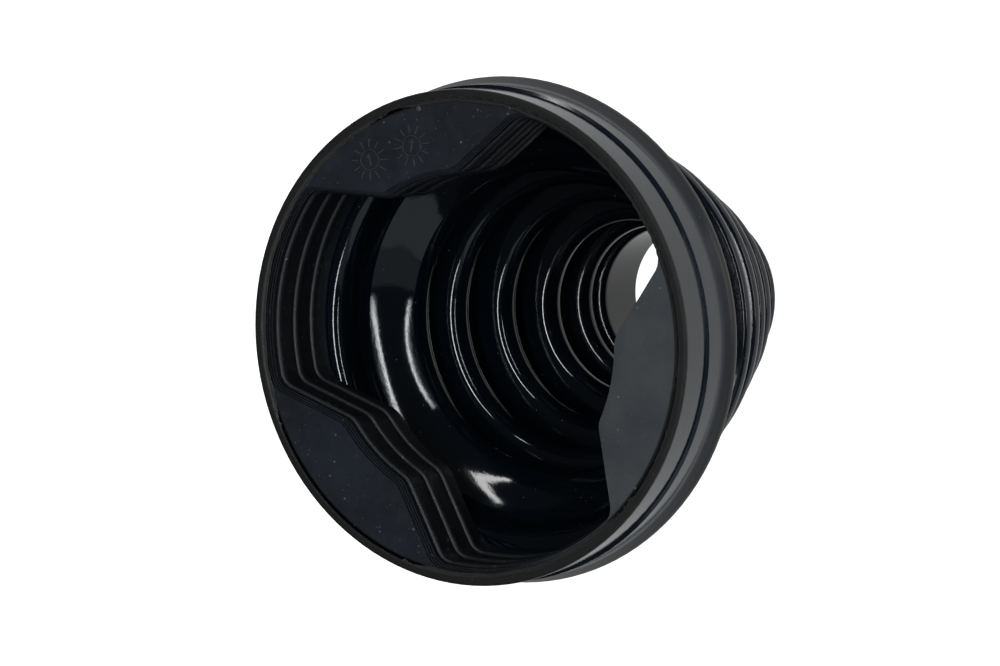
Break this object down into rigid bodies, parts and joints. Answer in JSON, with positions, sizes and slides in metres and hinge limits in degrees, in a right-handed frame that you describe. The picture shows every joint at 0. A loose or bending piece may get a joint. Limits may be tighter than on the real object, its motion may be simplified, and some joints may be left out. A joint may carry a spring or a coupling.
{
  "type": "inboard CV joint boot",
  "caption": "Tapered rubber bellows boot with a large clamp collar holding a three-lobed sealing insert and a small shaft collar.",
  "frame": {"origin": "centre of the small end's flat face, on which the boot stands", "axes": "+Z along the boot's axis from the small end to the mouth, +Y through the middle of one lobe"},
  "size_m": [0.0876, 0.0876, 0.0922],
  "materials": {
    "glossy_rubber": "glossy moulded rubber",
    "matte_rubber": "matte moulded rubber"
  },
  "bodies": {
    "root": {"bellows_boot": "glossy_rubber", "trilobe_insert": "matte_rubber"}
  },
  "joints": []
}
